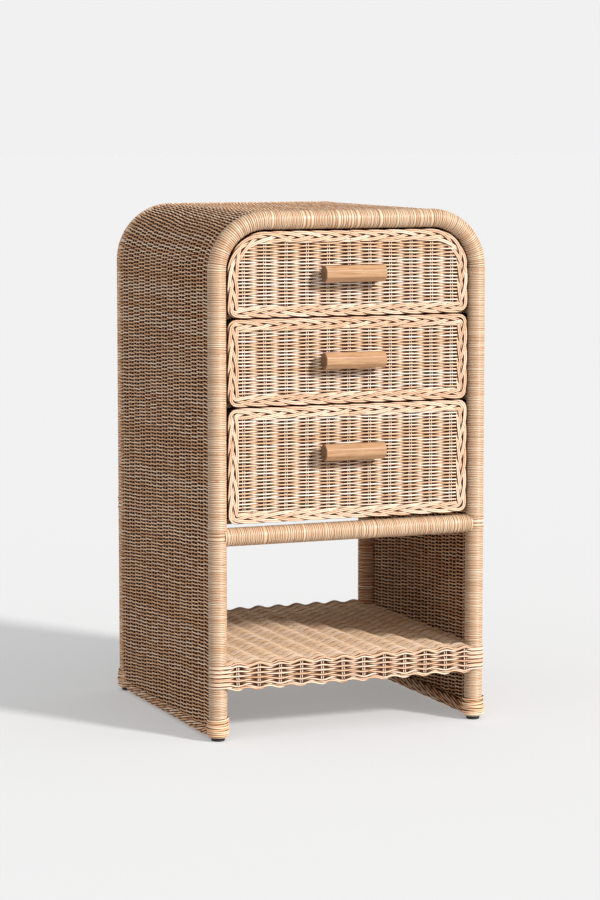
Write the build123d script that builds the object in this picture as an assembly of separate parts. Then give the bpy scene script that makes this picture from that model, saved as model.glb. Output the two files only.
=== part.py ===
"""A rattan nightstand: two bent pole arches joined by rails, a woven shell over them,
three drawers on wooden runners, and a woven shelf. Millimetres, +Z up, front towards -Y.
The origin is on the floor, in the middle of the whole piece's width and depth."""

from build123d import *
import os

os.makedirs("parts", exist_ok=True)

# Case
case_width = 428.0  # over the wrapped posts
case_depth = 421.0  # over the wrapped posts
case_height = 750.0  # floor to the top of the arches
corner_radius = 86.0  # outside of the arches' bends
pole_diameter = 22.0
wrap_thickness = 2.5  # cane wound round each pole
weave_thickness = 7.5  # stakes with a weaver on both sides
weave_inset = 0.6  # the weave's face lies this far inside the wrapped poles' faces
batten_width = 18.0
batten_spread = 130.0  # between the two battens under the top

# Feet
glide_diameter = 19.5
glide_height = 5.0
glide_chamfer = 0.8
collar_thickness = 3.3  # plaited border round a post, over its wrap
collar_height = 29.0
border_width = 18.6  # plaited border along the foot of a side
border_height = 17.0
border_overhang = 1.9  # of the border outside the woven side
border_rounding = 6.0
stretcher_diameter = 12.0
stretcher_cover = 2.0  # of the border inside the stretcher

# Shelf
shelf_bottom = 72.0  # above the floor
shelf_skin = 6.0
shelf_pole_diameter = 24.0
shelf_band_thickness = 2.5  # strands that carry the shelf round a post
shelf_band_height = 29.0
shelf_band_reach = 2.0  # of a band behind the middle of its post
slat_count = 5
slat_width = 24.0
slat_thickness = 6.0
slat_gap = 3.0  # between the outer slats and the posts' inner faces

# Drawers, from the top down
drawer_names = ("top_drawer", "middle_drawer", "bottom_drawer")
drawer_heights = (120.0, 122.0, 163.0)
pull_drops = (60.0, 60.0, 65.5)  # pull's centre below the top of the drawer front
drawer_gap = 3.0  # between two drawer fronts
front_clearance = 2.5  # between a drawer front and the poles round it
rail_clearance = 5.0  # under the bottom drawer
front_recess = 9.0  # of the woven field behind the posts' faces
plait_width = 15.0
plait_proud = 1.5  # in front of the woven field
plait_corner = 9.0
least_corner = 1.0  # of anything cut to follow the plait's corners
field_thickness = 9.0
board_thickness = 12.0
board_inset = 3.0
box_wall = 10.0
box_inset = 4.6  # of the drawer box inside the opening, on each side
box_lift = 3.5  # of the box's bottom edge over the front's
box_drop = 22.0  # of the box's top edge under the front's
box_back_gap = 8.5  # behind a closed drawer box, to the rear posts
arch_clearance = 3.0  # between the top drawer's box and the arch's bend
panel_thickness = 5.0  # of the drawer bottoms
groove_lift = 8.0
groove_depth = 5.0
groove_clearance = 0.2

# Runners
guide_clearance = 1.5  # between a drawer's side and the plate beside it
runner_ledge = 12.0
ledge_thickness = 6.0
slide_clearance = 0.3  # between a ledge and the drawer on it
runner_end_gap = 1.5  # behind the front board

# Pulls
pull_diameter = 23.5  # across the flats
pull_length = 93.0
pull_sides = 8
pull_rounding = 3.0  # of its long edges
pull_chamfer = 0.8
pull_standoff = 3.9  # between the pull and the woven field
pull_spacing = 64.0
stub_diameter = 13.0

# Fasteners
frame_screw_diameter = 4.0
frame_screw_length = 50.0
screw_sink = 0.3  # of a screw head under the pole's surface
runner_screw_diameter = 3.0
runner_screw_length = 15.0
runner_screw_spacing = 240.0
pull_screw_diameter = 4.0
pull_screw_bite = 12.0  # into the pull
pan_head_diameter = 8.0
pan_head_height = 2.5
hole_clearance = 0.25
nail_diameter = 2.5
nail_length = 22.0
nail_head_diameter = 6.0
nail_head_height = 1.2
nail_head_lift = 1.5  # of the nail's head above the floor

# Lines that several pieces share
tube_radius = pole_diameter / 2 + wrap_thickness
post_x = case_width / 2 - tube_radius
post_y = case_depth / 2 - tube_radius
arch_top = case_height - tube_radius
bend_radius = corner_radius - tube_radius
bend_z = case_height - corner_radius
opening_half = post_x - tube_radius
opening_top = case_height - 2 * tube_radius
panel_outer = case_width / 2 - weave_inset
panel_inner = panel_outer - weave_thickness
border_x = panel_outer + border_overhang - border_width / 2
border_top = glide_height + border_height
shelf_pole_z = shelf_bottom + shelf_skin + shelf_pole_diameter / 2
slat_bottom = shelf_pole_z + shelf_pole_diameter / 2
shelf_top = slat_bottom + slat_thickness + shelf_skin
shelf_pole_y = case_depth / 2 - shelf_skin - shelf_pole_diameter / 2
shelf_hollow_x = panel_inner - shelf_skin
shelf_hollow_y = case_depth / 2 - shelf_skin
field_y = -case_depth / 2 + front_recess
board_y = field_y + field_thickness
box_y = board_y + board_thickness
box_back = post_y - tube_radius - box_back_gap
box_half = opening_half - box_inset
plate_outer = panel_inner - batten_width
plate_inner = box_half + guide_clearance
pull_y = field_y - pull_standoff - pull_diameter / 2
origin_shift = (-(pull_y - pull_diameter / 2) - (post_y + tube_radius + collar_thickness)) / 2


def drawer_levels():
    """Bottom and top of each drawer front, from the top drawer down."""
    levels = []
    top = opening_top - front_clearance
    for height in drawer_heights:
        levels.append((top - height, top))
        top -= height + drawer_gap
    return levels


levels = drawer_levels()
rail_z = levels[-1][0] - rail_clearance - tube_radius
ledge_levels = [bottom + box_lift - slide_clearance for bottom, top in levels]
batten_levels = [ledge - ledge_thickness + batten_width / 2 for ledge in ledge_levels]
stretcher_x = border_x - border_width / 2 + stretcher_cover + stretcher_diameter / 2
stretcher_z = glide_height + border_height / 2
top_batten_z = case_height - weave_inset - weave_thickness - batten_width / 2


def save(name, *solids):
    """Writes one node, moved so that the origin is in the middle of the whole depth."""
    shape = solids[0] if len(solids) == 1 else Compound(list(solids))
    export_step(Pos(0, origin_shift, 0) * shape, f"parts/{name}.step")


def block(x0, x1, y0, y1, z0, z1):
    centre = ((x0 + x1) / 2, (y0 + y1) / 2, (z0 + z1) / 2)
    return Pos(*centre) * Box(abs(x1 - x0), abs(y1 - y0), abs(z1 - z0))


def rod(start, direction, length, radius):
    return Plane(origin=start, z_dir=direction).location * Cylinder(
        radius, length, align=(Align.CENTER, Align.CENTER, Align.MIN)
    )


def cross_rod(y, z, radius, reach):
    """A round bar across the case, reaching as far each side of its middle."""
    return rod((-reach, y, z), (1, 0, 0), 2 * reach, radius)


def long_batten(x, z):
    """A square bar from the front arch's centre to the rear arch's."""
    half = batten_width / 2
    return block(x - half, x + half, -post_y, post_y, z - half, z + half)


def arch(y, radius):
    """A round bar bent over from foot to foot."""
    path = FilletPolyline(
        (-post_x, y, glide_height),
        (-post_x, y, arch_top),
        (post_x, y, arch_top),
        (post_x, y, glide_height),
        radius=bend_radius,
    )
    return sweep(Plane(origin=(-post_x, y, glide_height)) * Circle(radius), path=path)


def arched_outline(half, bottom, top, radius):
    """The front view of a panel with its two upper corners bent to a radius."""
    outline = Rectangle(2 * half, top - bottom)
    outline = fillet(outline.vertices().group_by(Axis.Y)[-1], radius)
    return Pos(0, (bottom + top) / 2) * outline


def screw(start, direction, length, diameter):
    """A countersunk screw with its head's face at start, and the tool that cuts its hole."""
    head = diameter
    body = rod(start, direction, length, diameter / 2)
    plane = Plane(origin=start, z_dir=direction)
    cone = plane.location * Cone(
        diameter, diameter / 2, head, align=(Align.CENTER, Align.CENTER, Align.MIN)
    )
    back = tuple(-value for value in direction)
    return body + cone, body + cone + rod(start, back, pole_diameter / 2, diameter)


def seat(offset):
    """How far out from a pole's centre a screw head sits flush, offset mm off its axis."""
    reach = abs(offset) + frame_screw_diameter
    return ((pole_diameter / 2) ** 2 - reach**2) ** 0.5 - screw_sink


def frame_screws():
    """Screws through the arch poles into the ends of every bar between them."""
    pairs = []
    for side in (-1, 1):
        bars = [(post_x, z, 0) for z in batten_levels]
        bars.append((stretcher_x, stretcher_z, stretcher_x - post_x))
        bars.append((batten_spread / 2, arch_top, 0))
        for end in (-1, 1):
            for z in (rail_z, shelf_pole_z):
                start = (side * (post_x + seat(0)), end * post_y, z)
                pairs.append(screw(start, (-side, 0, 0), frame_screw_length, frame_screw_diameter))
            for x, z, offset in bars:
                start = (side * x, end * (post_y + seat(offset)), z)
                pairs.append(screw(start, (0, -end, 0), frame_screw_length, frame_screw_diameter))
    return [pair[0] for pair in pairs], [pair[1] for pair in pairs]


def runner_screws():
    """Two screws through each runner's plate into its batten."""
    pairs = []
    for side in (-1, 1):
        for z in batten_levels:
            for y in (-runner_screw_spacing / 2, runner_screw_spacing / 2):
                start = (side * plate_inner, y, z)
                pairs.append(screw(start, (side, 0, 0), runner_screw_length, runner_screw_diameter))
    return [pair[0] for pair in pairs], [pair[1] for pair in pairs]


def glide_parts():
    """The four foot glides and the nails through them, one pair under each post."""
    glides = []
    nails = []
    for x in (-post_x, post_x):
        for y in (-post_y, post_y):
            nail = rod((x, y, nail_head_lift), (0, 0, 1), nail_length, nail_diameter / 2)
            nail += rod((x, y, nail_head_lift), (0, 0, 1), nail_head_height, nail_head_diameter / 2)
            glide = rod((x, y, 0), (0, 0, 1), glide_height, glide_diameter / 2)
            glide = chamfer(glide.edges().group_by(Axis.Z)[0], glide_chamfer)
            recess = rod((x, y, 0), (0, 0, 1), nail_head_lift, nail_head_diameter / 2)
            glides.append(glide - nail - recess)
            nails.append(nail)
    return glides, nails


def foot_border(side):
    """The plaited edge at the foot of one side, with a collar round each post."""
    x = side * border_x
    half = border_width / 2
    bar = block(x - half, x + half, -post_y, post_y, glide_height, border_top)
    bar = fillet(bar.edges().filter_by(Axis.Y), border_rounding)
    for y in (-post_y, post_y):
        start = (side * post_x, y, glide_height)
        bar += rod(start, (0, 0, 1), collar_height, tube_radius + collar_thickness)
    return bar


def shelf_shape():
    """The shelf's woven skin, closed all round, with bands round the posts."""
    half_y = case_depth / 2
    shape = block(-panel_inner, panel_inner, -post_y, post_y, shelf_bottom, shelf_top)
    shape += block(-post_x, post_x, -half_y, half_y, shelf_bottom, shelf_top)
    band_radius = tube_radius + shelf_band_thickness
    band_bottom = (shelf_bottom + shelf_top - shelf_band_height) / 2
    reach = post_y - shelf_band_reach
    for x in (-post_x, post_x):
        for end in (-1, 1):
            ring = rod((x, end * post_y, band_bottom), (0, 0, 1), shelf_band_height, band_radius)
            shape += ring & block(
                x - 2 * band_radius,
                x + 2 * band_radius,
                end * reach,
                end * (post_y + 2 * band_radius),
                band_bottom,
                band_bottom + shelf_band_height,
            )
    return shape - block(
        -shelf_hollow_x,
        shelf_hollow_x,
        -shelf_hollow_y,
        shelf_hollow_y,
        shelf_bottom + shelf_skin,
        shelf_top - shelf_skin,
    )


def shell_panels():
    """The woven top with its bends, and the two woven sides down to their borders."""
    top_z = case_height - weave_inset
    radius = corner_radius - weave_inset
    outer = arched_outline(panel_outer, border_top, top_z, radius)
    inner = arched_outline(panel_inner, border_top, top_z - weave_thickness, radius - weave_thickness)
    shell = front_slab(outer - inner, post_y, 2 * post_y)
    top = shell & block(-panel_outer, panel_outer, -post_y, post_y, bend_z, top_z)
    left = block(-panel_outer, -panel_inner, -post_y, post_y, border_top, bend_z)
    right = block(panel_inner, panel_outer, -post_y, post_y, border_top, bend_z)
    return top, left, right


def front_outline(bottom, top, inset, top_corner):
    """A drawer front's outline, moved in by inset, as a face seen from the front."""
    half = opening_half - front_clearance - inset
    height = top - bottom - 2 * inset
    sketch = Rectangle(2 * half, height)
    for corners, radius in ((-1, top_corner), (0, plait_corner)):
        edges = sketch.vertices().group_by(Axis.Y)[corners]
        sketch = fillet(edges, max(radius - inset, least_corner))
    return Pos(0, (bottom + top) / 2) * sketch


def front_slab(sketch, y, thickness):
    """A sketch of the front view, thickened forwards from the plane at y."""
    plane = Plane(origin=(0, y, 0), x_dir=(1, 0, 0), z_dir=(0, -1, 0))
    return extrude(plane * sketch, amount=thickness)


def box_top(top):
    """The top edge of a drawer box, kept under the arch's bend."""
    inner = corner_radius - 2 * tube_radius - arch_clearance
    reach = box_half - (case_width / 2 - corner_radius)
    if reach <= 0:
        return top - box_drop
    return min(top - box_drop, bend_z + (max(inner**2 - reach**2, 0)) ** 0.5)


def pull_screw(x, z):
    start = (x, box_y, z)
    length = box_y - pull_y + pull_diameter / 2 - pull_screw_bite / 2
    shank = rod(start, (0, -1, 0), length, pull_screw_diameter / 2)
    return shank + rod(start, (0, 1, 0), pan_head_height, pan_head_diameter / 2)


def pull_grip(z):
    """The bar that the hand takes: eight-sided, with a flat to the front and eased edges."""
    profile = RegularPolygon(pull_diameter / 2, pull_sides, major_radius=False)
    profile = Rot(0, 0, 180 / pull_sides) * profile
    profile = fillet(profile.vertices(), pull_rounding)
    plane = Plane(origin=(-pull_length / 2, pull_y, z), x_dir=(0, 1, 0), z_dir=(1, 0, 0))
    grip = extrude(plane * profile, amount=pull_length)
    ends = grip.faces().sort_by(Axis.X)
    return chamfer(ends[0].edges() + ends[-1].edges(), pull_chamfer)


def drawer(name, bottom, top, top_corner, pull_z):
    """One drawer: woven front, plaited border, board, box and pull."""
    holes = []
    screws = []
    for x in (-pull_spacing / 2, pull_spacing / 2):
        screws.append(pull_screw(x, pull_z))
        radius = pull_screw_diameter / 2 + hole_clearance
        holes.append(rod((x, box_y, pull_z), (0, -1, 0), box_y - field_y, radius))

    outline = front_outline(bottom, top, 0, top_corner)
    field = front_outline(bottom, top, plait_width, top_corner)
    save(f"{name}_plaited_border", front_slab(outline - field, board_y, field_thickness + plait_proud))
    save(f"{name}_woven_front", front_slab(field, board_y, field_thickness) - holes)

    box_bottom = bottom + box_lift
    box_height_top = box_top(top)
    groove_z = box_bottom + groove_lift
    groove = block(
        -box_half + box_wall - groove_depth,
        box_half - box_wall + groove_depth,
        box_y - groove_depth,
        box_back - box_wall + groove_depth,
        groove_z,
        groove_z + panel_thickness + 2 * groove_clearance,
    )
    board = front_slab(front_outline(bottom, top, board_inset, top_corner), box_y, board_thickness)
    save(f"{name}_front_board", board - holes - groove)
    for word, side in (("left", -1), ("right", 1)):
        wall = block(
            side * (box_half - box_wall), side * box_half, box_y, box_back, box_bottom, box_height_top
        )
        save(f"{name}_{word}_side", wall - groove)
    back = block(
        -box_half + box_wall,
        box_half - box_wall,
        box_back - box_wall,
        box_back,
        box_bottom,
        box_height_top,
    )
    save(f"{name}_back", back - groove)
    edge = box_half - box_wall + groove_depth - groove_clearance
    save(
        f"{name}_bottom",
        block(
            -edge,
            edge,
            box_y - groove_depth + groove_clearance,
            box_back - box_wall + groove_depth - groove_clearance,
            groove_z + groove_clearance,
            groove_z + groove_clearance + panel_thickness,
        ),
    )

    pull = pull_grip(pull_z)
    for x in (-pull_spacing / 2, pull_spacing / 2):
        pull += rod((x, pull_y, pull_z), (0, 1, 0), field_y - pull_y, stub_diameter / 2)
    save(f"{name}_pull", pull - screws)
    save(f"{name}_pull_screws", *screws)


def runner(side, ledge_z, tools):
    """An L-shaped strip: a plate against the batten and a ledge under the drawer's side."""
    front = box_y + runner_end_gap
    back = post_y - tube_radius
    bottom = ledge_z - ledge_thickness
    plate = block(
        side * plate_outer, side * plate_inner, front, back, bottom, bottom + batten_width
    )
    ledge = block(
        side * plate_inner, side * (plate_inner - runner_ledge), front, back, bottom, ledge_z
    )
    return plate + ledge - tools


# The poles and the bars between them
screws, screw_tools = frame_screws()
fixings, fixing_tools = runner_screws()
glides, nails = glide_parts()
arches = {"front": arch(-post_y, pole_diameter / 2), "rear": arch(post_y, pole_diameter / 2)}
tubes = {"front": arch(-post_y, tube_radius), "rear": arch(post_y, tube_radius)}
both_tubes = [tubes["front"], tubes["rear"]]
both_poles = [arches["front"], arches["rear"]]

rails = {}
rail_tubes = {}
shelf_poles = {}
for word, end in (("front", -1), ("rear", 1)):
    rails[word] = cross_rod(end * post_y, rail_z, pole_diameter / 2, post_x)
    shelf_poles[word] = cross_rod(
        end * shelf_pole_y, shelf_pole_z, shelf_pole_diameter / 2, shelf_hollow_x
    )

battens = {}
stretchers = {}
for word, side in (("left", -1), ("right", 1)):
    batten_x = side * (panel_inner + plate_outer) / 2
    battens[word] = [long_batten(batten_x, z) for z in batten_levels]
    start = (side * stretcher_x, -post_y, stretcher_z)
    stretchers[word] = rod(start, (0, 1, 0), 2 * post_y, stretcher_diameter / 2)
top_battens = [long_batten(side * batten_spread / 2, top_batten_z) for side in (-1, 1)]

bars = list(rails.values()) + list(shelf_poles.values()) + list(stretchers.values())
bars += battens["left"] + battens["right"] + top_battens
for word in ("front", "rear"):
    save(f"{word}_arch_pole", arches[word] - screw_tools - nails)
    save(f"{word}_arch_wrap", tubes[word] - arches[word] - bars)
    save(f"{word}_rail_pole", rails[word] - both_poles - screw_tools)
    y = -post_y if word == "front" else post_y
    rail_tubes[word] = cross_rod(y, rail_z, tube_radius, post_x)
    save(f"{word}_rail_wrap", rail_tubes[word] - rails[word] - both_tubes)
    save(f"shelf_{word}_pole", shelf_poles[word] - both_poles - screw_tools)

for word, side in (("left", -1), ("right", 1)):
    save(f"{word}_drawer_battens", *[b - both_poles - screw_tools - fixing_tools for b in battens[word]])
    save(f"{word}_foot_stretcher", stretchers[word] - both_poles - screw_tools)
    for name, ledge_z in zip(drawer_names, ledge_levels):
        save(f"{word}_{name}_runner", runner(side, ledge_z, fixing_tools))
save("top_battens", *[b - both_poles - screw_tools for b in top_battens])
save("frame_screws", *screws)
save("runner_screws", *fixings)
save("foot_glides", *glides)
save("glide_nails", *nails)

# The weaving
top, left, right = shell_panels()
save("woven_top", top - both_tubes)
for word, panel, side in (("left", left, -1), ("right", right, 1)):
    border = foot_border(side)
    save(f"woven_{word}_side", panel - both_tubes - border)
    save(f"{word}_foot_border", border - both_tubes - stretchers[word])
back_y = post_y + tube_radius - weave_inset
back_outline = arched_outline(post_x, rail_z, arch_top, bend_radius)
back = front_slab(back_outline, back_y, weave_thickness)
save("woven_back", back - tubes["rear"] - rail_tubes["rear"])

# The shelf
save("shelf_weave", shelf_shape() - both_tubes)
slats = []
half = slat_width / 2
reach = opening_half - slat_gap - half
for i in range(slat_count):
    x = -reach + 2 * reach * i / (slat_count - 1)
    top_z = slat_bottom + slat_thickness
    slats.append(block(x - half, x + half, -shelf_pole_y, shelf_pole_y, slat_bottom, top_z))
save("shelf_slats", *slats)

# The drawers
for index, name in enumerate(drawer_names):
    bottom, front_top = levels[index]
    arched = corner_radius - 2 * tube_radius - front_clearance
    corner = arched if index == 0 else plait_corner
    drawer(name, bottom, front_top, corner, front_top - pull_drops[index])
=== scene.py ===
"""Looks for a rattan nightstand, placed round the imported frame. Weavers, stakes and plaited rods
are each a strand of their own, and the winding of a pole is one skin with a ridge for each turn.
Lengths here are millimetres until a mesh is made."""

import math

import bpy
import numpy as np
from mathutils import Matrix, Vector


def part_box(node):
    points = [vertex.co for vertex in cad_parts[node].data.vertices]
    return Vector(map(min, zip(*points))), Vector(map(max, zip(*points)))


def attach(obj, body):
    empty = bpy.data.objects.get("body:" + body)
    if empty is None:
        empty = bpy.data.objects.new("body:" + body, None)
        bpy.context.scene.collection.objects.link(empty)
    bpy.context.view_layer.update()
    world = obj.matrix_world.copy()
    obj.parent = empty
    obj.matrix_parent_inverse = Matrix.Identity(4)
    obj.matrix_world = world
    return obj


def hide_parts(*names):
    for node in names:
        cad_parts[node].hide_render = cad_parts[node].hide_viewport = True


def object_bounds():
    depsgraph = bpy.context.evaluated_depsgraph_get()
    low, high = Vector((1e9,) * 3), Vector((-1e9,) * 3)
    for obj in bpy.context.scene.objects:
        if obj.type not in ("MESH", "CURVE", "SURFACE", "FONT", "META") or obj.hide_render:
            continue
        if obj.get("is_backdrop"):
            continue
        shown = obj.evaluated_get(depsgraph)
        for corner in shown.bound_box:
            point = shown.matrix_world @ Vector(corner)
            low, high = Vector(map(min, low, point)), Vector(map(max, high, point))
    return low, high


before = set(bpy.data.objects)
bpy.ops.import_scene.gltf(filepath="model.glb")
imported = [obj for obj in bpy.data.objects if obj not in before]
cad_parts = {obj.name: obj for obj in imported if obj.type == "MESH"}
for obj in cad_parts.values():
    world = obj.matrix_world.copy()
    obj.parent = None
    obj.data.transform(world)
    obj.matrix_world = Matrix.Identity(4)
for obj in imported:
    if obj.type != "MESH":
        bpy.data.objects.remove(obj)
cad_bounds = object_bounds()

MM = 0.001
rng = np.random.default_rng(11)
UP = np.array([0.0, 0.0, 1.0])
FRONT = np.array([0.0, -1.0, 0.0])
BACK = np.array([0.0, 1.0, 0.0])
TURN = 2 * math.pi

DRAWERS = ("top_drawer", "middle_drawer", "bottom_drawer")

# Shares of a strand's cell in the bake map: its side's, along and round, and where its caps lie
CELL_FILL = (0.97, 0.94)
CAP_PLACE = 0.985
STRIP_FILL = 0.96  # the same for a strip of a winding, round the pole

# Woven sides, top and back, in millimetres
ROW_PITCH = 2.6  # from one weaver to the next
WEAVER = 1.38  # half a weaver's thickness
WEAVE_LIFT = 2.4  # of a weaver's middle off the stakes' middle
STAKE = 1.2  # half a stake's thickness
THICKNESS_SPREAD = (0.94, 1.04)  # of the weavers, as shares of their thickness
UNEVEN = 0.14  # how far a weaver strays from its row
SIDE_STAKE_PITCH = 24.9
SIDE_STAKES_EACH_WAY = 7  # from the middle one
SIDE_STAKE_SHIFT = 6.2  # of the middle one, towards the front
SLANT = 2.2  # how far a weaver dips at the front pole and rises at the rear one
SLANT_RUN = 20.0  # over which it does so
SUNK_ROWS = 4.0  # how deep the last rows are sunk in the foot border
BACK_STAKE_PITCH = 32.0
BACK_STAKES = 12
SHADE_SHEET = 0.35  # half the thickness of the dark sheet of painted shade inside a weave

# Windings of cane on the poles
TURN_WIDTH = 2.5
RAIL_TURN = 1.1  # width of a turn on a rail, as a share of TURN_WIDTH
BEND_TURN = 1.2  # the same round a bend
BAND_Z = (284.0, 301.0)  # the flat binding round each post beside a rail
LASHING = 2.6  # width of the cane that ends the binding, above and below
LASHING_RAISE = 1.0
BINDING_TURN = 5.9  # width of a turn of the binding itself
BINDING_RAISE = 0.5
AROUND_POLE = 24  # faces round a winding

# Drawer fronts
DRAWER_PITCH = 2.46  # from one weaver to the next
DRAWER_WEAVER = 1.4  # half its thickness
DRAWER_LIFT = 2.3  # of its middle off the stakes' middle
DRAWER_STAKES = 11  # pairs
DRAWER_STAKE_PITCH = 32.2
DRAWER_STAKE = 0.92  # half its thickness
DRAWER_PAIR = 1.55  # half the distance between the two of a pair
TUCK = 3.5  # how far the field runs under the plait at each side
LOW_TUCK = 3.0  # the same above and below
FRONT_CORNER = 9.0  # outer radius of a plait's upper corners, but for the top drawer's
PLAIT_CORNER = 4.5  # least radius of the line a plait follows, which its lower corners have
PLAIT_STRANDS = 5
PLAIT_PERIOD = 158.0  # over which a strand goes out to both edges and back
PLAIT_STEP = 2.6  # from one point of a strand to the next
PLAIT_ROD = 1.5  # half its thickness
PLAIT_CLOSE = 0.82  # distance between a strand's two rods, as a share of their thickness
PLAIT_SQUARE = 0.9  # how far a strand runs along the edge before it turns back
PLAIT_RISE = 2.1  # of a strand where it lies on top
PLAIT_SUNK = 3.9  # from the plait's face to its middle
PLAIT_OVERHANG = 0.9  # past the edge of the drawer's front

# Shelf
SHELF_STAKES = 12  # pairs
SHELF_STAKE_PITCH = 32.4
SHELF_STAKE_SHIFT = 4.0  # of the pairs, to the right
SHELF_PAIR = 1.5  # half the distance between the two of a pair
SHELF_SKIN = 3.0  # from the shelf's face to the middle of its stakes
SHELF_RIDGE = 1.9  # of the skin over a pair of stakes, besides the weavers' own lift
SHELF_EDGE = 6.0  # radius of its long edges
SHELF_INSET = 2.5  # of the woven band behind the CAD face
SPLINT_BUNDLE = 21.0  # from one bundle of splints to the next, front to back
SPLINT_PITCH = 2.2  # from one weaver to the next on top
UNDER_PITCH = 2.7  # the same below
BAND_ROWS = 11
BAND_PITCH = 3.3
BAND_RING_PITCH = 3.0  # of the rows where they go round a post
BAND_LIFT = 2.3
BAND_WEAVER = 1.5  # half its thickness
BAND_TIP = 9  # points along a weaver's end round a post

# Foot borders
ROPE_RODS = 14
ROPE_LAY = 230.0  # over which a rod goes once round the rope
ROPE_ROD = (1.75, 1.6)  # half its width and half its depth
ROPE_HALF_HEIGHT = 7.4
ROPE_RISE = 8.0  # of the rope's middle over the foot of its node, at its ends
ROPE_SAG = 2.4  # lower between the glides
ROPE_SAG_RUN = 45.0
ROPE_COVER = 2.2  # of rope outside the woven side, and as much inside the stretcher
POST_RINGS = 8
POST_RING_PITCH = 3.2


def box(node):
    """Lowest and highest corners of a frame node."""
    low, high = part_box(node)
    return np.array(low) / MM, np.array(high) / MM


def xyz(x, y, z):
    """Points or directions, out of arrays or single values for each axis."""
    return np.stack(np.broadcast_arrays(x, y, z), -1)


def smooth(share):
    """Eases a share that runs from 0 to 1."""
    return share * share * (3 - 2 * share)


# ---------- lines taken from the frame
front_low, front_high = box("front_arch_wrap")
rear_low, rear_high = box("rear_arch_wrap")
tube = (front_high[1] - front_low[1]) / 2
front_y = (front_low[1] + front_high[1]) / 2
rear_y = (rear_low[1] + rear_high[1]) / 2
middle_y = (front_y + rear_y) / 2
post_x = front_high[0] - tube
arch_top = front_high[2] - tube
pole_foot = front_low[2]
side_low = box("woven_left_side")[0]
top_low, top_high = box("woven_top")
bend_z = top_low[2]
panel_x = -side_low[0] - (WEAVE_LIFT + WEAVER)
panel_top = top_high[2] - (WEAVE_LIFT + WEAVER)
panel_radius = panel_top - bend_z
bend_radius = arch_top - bend_z
panel_foot = side_low[2] - SUNK_ROWS
rail_low, rail_high = box("front_rail_wrap")
rail_z = (rail_low[2] + rail_high[2]) / 2
PANEL_ARCH = (panel_x, panel_foot, panel_top, panel_radius)
POLE_ARCH = (post_x, pole_foot, arch_top, bend_radius)


def arch_at(s, half, foot, top, radius):
    """Points and outward directions in the front view, s mm along an arch from its left foot."""
    s = np.asarray(s, float)
    leg = top - radius - foot
    bend = radius * math.pi / 2
    span = 2 * (half - radius)
    a = np.clip((s - leg) / radius, 0, math.pi / 2)
    b = np.clip((s - leg - bend - span) / radius, 0, math.pi / 2)
    flat = np.clip(s - leg - bend, 0, span)
    up = np.clip(s, None, leg) + foot
    down = np.clip(s - leg - 2 * bend - span, 0, None)
    left = s < leg + bend
    right = s > leg + bend + span
    x = np.where(left, radius * (1 - np.cos(a)) - half, radius - half + flat)
    x = np.where(right, half - radius + radius * np.sin(b), x)
    z = np.where(left, up + radius * np.sin(a), top)
    z = np.where(right, top - radius + radius * np.cos(b) - down, z)
    nx = np.where(left, -np.cos(a), np.sin(b))
    nz = np.where(left, np.sin(a), np.cos(b))
    return x, z, nx, nz


def arch_length(half, foot, top, radius):
    return 2 * (top - radius - foot) + math.pi * radius + 2 * (half - radius)


# ---------- meshes
def put(name, data):
    made = bpy.data.objects.new(name, data)
    bpy.context.scene.collection.objects.link(made)
    return made


def make_piece(name, verts, quads, uvs, tones, grain, painted_shade, caps=(), cap_uvs=(), cap_tones=()):
    """One mesh object out of quads and, for open strands, the caps that close their ends.
    Its finish reads each strand's tone, the run of its grain, and how deep a point lies, which it paints
    as shade."""
    mesh = bpy.data.meshes.new(name)
    caps = np.asarray(caps, np.int32)
    cap_size = caps.shape[1] if len(caps) else 0
    loops = np.concatenate([quads.ravel(), caps.ravel()]).astype(np.int32)
    counts = np.concatenate([np.full(len(quads), 4), np.full(len(caps), cap_size)]).astype(np.int32)
    starts = np.concatenate([[0], np.cumsum(counts)[:-1]]).astype(np.int32)
    mesh.vertices.add(len(verts))
    mesh.vertices.foreach_set("co", (verts * MM).astype(np.float32).ravel())
    mesh.loops.add(len(loops))
    mesh.loops.foreach_set("vertex_index", loops)
    mesh.polygons.add(len(counts))
    mesh.polygons.foreach_set("loop_start", starts)
    mesh.polygons.foreach_set("use_smooth", np.ones(len(counts), bool))
    mesh.update(calc_edges=True)
    layer = mesh.uv_layers.new(name="OFBake")
    flat = np.concatenate([np.reshape(uvs, (-1, 2)), np.reshape(cap_uvs, (-1, 2))])
    layer.data.foreach_set("uv", flat.astype(np.float32).ravel())
    tone = mesh.attributes.new("tone", "FLOAT", "FACE")
    tone.data.foreach_set("value", np.concatenate([tones, cap_tones]).astype(np.float32))
    fibre = mesh.attributes.new("grain", "FLOAT_VECTOR", "POINT")
    fibre.data.foreach_set("vector", grain.astype(np.float32).ravel())
    depth = mesh.attributes.new("painted_shade", "FLOAT", "POINT")
    depth.data.foreach_set("value", np.asarray(painted_shade, np.float32).ravel())
    return put(name, mesh)


def quad_uvs(ua, ub, va, vb):
    """The four corners of each face in the bake map."""
    corners = ((ua, va), (ub, va), (ub, vb), (ua, vb))
    return np.stack([np.stack(np.broadcast_arrays(*c), -1) for c in corners], -2)


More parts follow.
